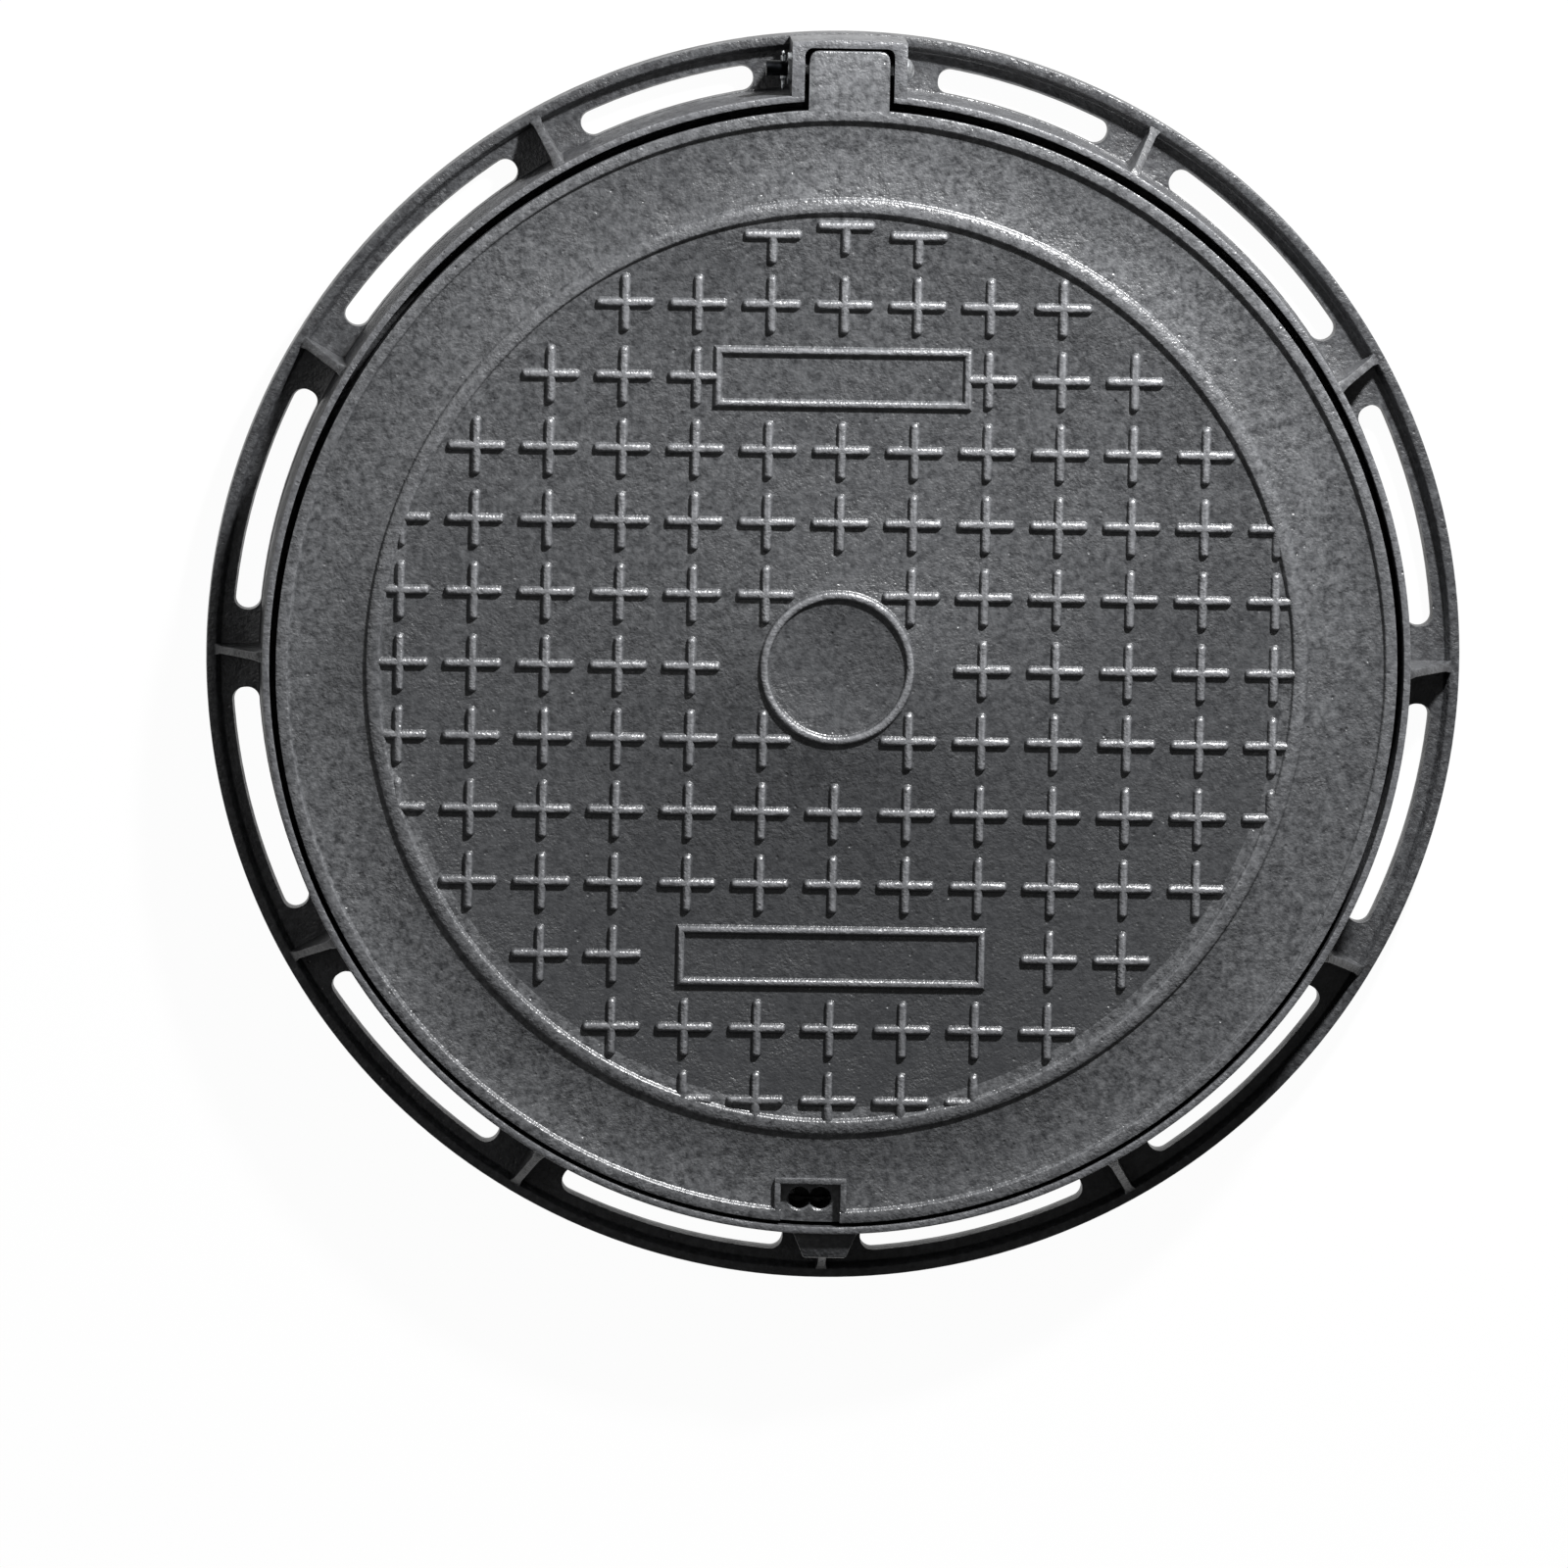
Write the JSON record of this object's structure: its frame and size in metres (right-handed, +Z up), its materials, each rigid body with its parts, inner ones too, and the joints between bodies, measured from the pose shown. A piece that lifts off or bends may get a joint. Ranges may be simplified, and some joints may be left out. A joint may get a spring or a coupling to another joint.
{
  "type": "septic tank cover",
  "caption": "Round cast iron access cover: a cross-patterned lid with a lifting keyhole, hinged on a slotted ring frame by a pin with washer and split pin.",
  "frame": {"origin": "centre of the frame's underside, in the middle of the flange", "axes": "+Z up through the lid, +Y towards the hinge, +X to the right seen from above with the hinge at the top"},
  "size_m": [0.8, 0.8, 0.06],
  "materials": {
    "frame_iron": "black bitumen paint on a sand casting",
    "lid_iron": "black bitumen paint on a sand casting, worn slightly grey",
    "pin_steel": "plain steel under thin black paint",
    "zinc_steel": "bright zinc plate"
  },
  "bodies": {
    "frame_body": {"frame": "frame_iron", "hinge_pin": "pin_steel", "washer": "pin_steel", "split_pin": "zinc_steel"},
    "lid_body": {"lid": "lid_iron"}
  },
  "joints": [
    {"name": "lid_hinge", "type": "hinge", "parent": "frame_body", "child": "lid_body", "pos_m": [0, 0.38, 0.0475], "axis": [-1, 0, 0], "range_deg": [0, 96]}
  ]
}
